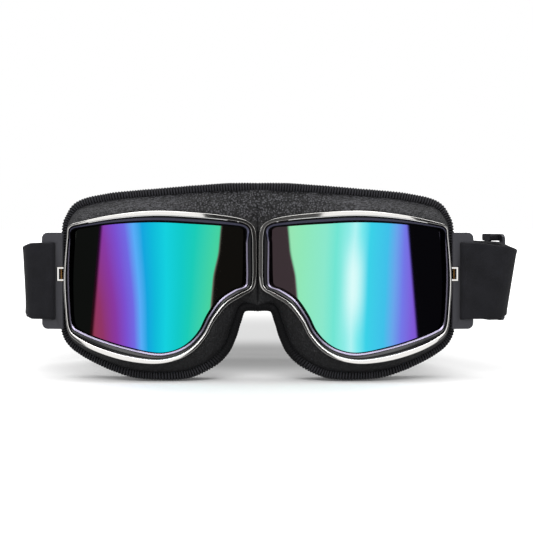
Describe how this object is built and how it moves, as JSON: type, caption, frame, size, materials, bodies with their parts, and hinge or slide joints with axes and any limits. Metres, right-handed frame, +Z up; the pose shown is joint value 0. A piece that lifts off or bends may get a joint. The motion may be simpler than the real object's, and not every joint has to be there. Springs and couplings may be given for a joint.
{
  "type": "motorcycle goggles",
  "caption": "Padded motorcycle goggles with curved mirror lenses in chrome rims, leather eyecups on a folding bridge hinge, swinging side wings and an elastic strap with a sliding adjuster.",
  "frame": {"origin": "on the surface the goggles stand on, under the middle of the bounding box", "axes": "-Y is the front, where the lenses look; +X is towards the wearer's left; +Z up"},
  "size_m": [0.2331, 0.1469, 0.0898],
  "materials": {
    "leather": "satin",
    "thread": "matte",
    "foam": "matte",
    "velour": "matte",
    "chrome": "polished",
    "brass": "polished",
    "steel": "satin",
    "gloss_black": "gloss",
    "matte_black": "satin",
    "mirror_lens": "polished",
    "webbing": "matte"
  },
  "bodies": {
    "bridge": {"bridge_link": "steel", "bridge_cover": "leather", "bridge_hem_top": "thread", "bridge_hem_bottom": "thread", "nose_pad": "foam", "strap_back": "webbing"},
    "left_eyecup": {"left_rim": "chrome", "left_bezel": "gloss_black", "left_lens": "mirror_lens", "left_frame": "matte_black", "left_hinge_leaf": "steel", "left_hinge_screw_lower": "steel", "left_hinge_screw_upper": "steel", "left_bridge_pin": "steel", "left_clip": "chrome", "left_wing_pin": "brass", "left_cover": "leather", "left_hem": "thread", "left_foam": "foam", "left_facing": "velour", "left_strap_side": "webbing", "left_strap_return": "webbing"},
    "right_eyecup": {"right_rim": "chrome", "right_bezel": "gloss_black", "right_lens": "mirror_lens", "right_frame": "matte_black", "right_hinge_leaf": "steel", "right_hinge_screw_lower": "steel", "right_hinge_screw_upper": "steel", "right_bridge_pin": "steel", "right_clip": "chrome", "right_wing_pin": "brass", "right_cover": "leather", "right_hem": "thread", "right_foam": "foam", "right_facing": "velour", "right_strap_side": "webbing"},
    "left_wing": {"left_wing": "matte_black", "left_strap_end": "webbing"},
    "right_wing": {"right_wing": "matte_black", "right_strap_end": "webbing"},
    "adjuster": {"adjuster_frame": "matte_black"}
  },
  "joints": [
    {"name": "left_fold", "type": "hinge", "parent": "bridge", "child": "left_eyecup", "pos_m": [0.0026, -0.0551, 0.058], "axis": [0, 0, 1], "range_deg": [0, 35], "deforming": ["bridge_cover", "bridge_hem_top", "bridge_hem_bottom", "nose_pad", "strap_back", "left_strap_side"]},
    {"name": "right_fold", "type": "hinge", "parent": "bridge", "child": "right_eyecup", "pos_m": [-0.0026, -0.0551, 0.058], "axis": [0, 0, -1], "range_deg": [0, 35], "deforming": ["bridge_cover", "bridge_hem_top", "bridge_hem_bottom", "nose_pad", "strap_back", "right_strap_side"]},
    {"name": "left_wing_swing", "type": "hinge", "parent": "left_eyecup", "child": "left_wing", "pos_m": [0.0892, -0.06241, 0.0485], "axis": [0, 0, 1], "range_deg": [0, 45], "deforming": ["left_strap_end", "left_strap_side", "left_strap_return"]},
    {"name": "right_wing_swing", "type": "hinge", "parent": "right_eyecup", "child": "right_wing", "pos_m": [-0.0892, -0.06241, 0.0485], "axis": [0, 0, -1], "range_deg": [0, 45], "deforming": ["right_strap_end", "right_strap_side"]},
    {"name": "adjuster_slide", "type": "slide", "parent": "left_eyecup", "child": "adjuster", "axis": [-0.3093, 0.951, 0], "range_m": [0, 0.022], "deforming": ["left_strap_side", "left_strap_return", "strap_back"]}
  ]
}
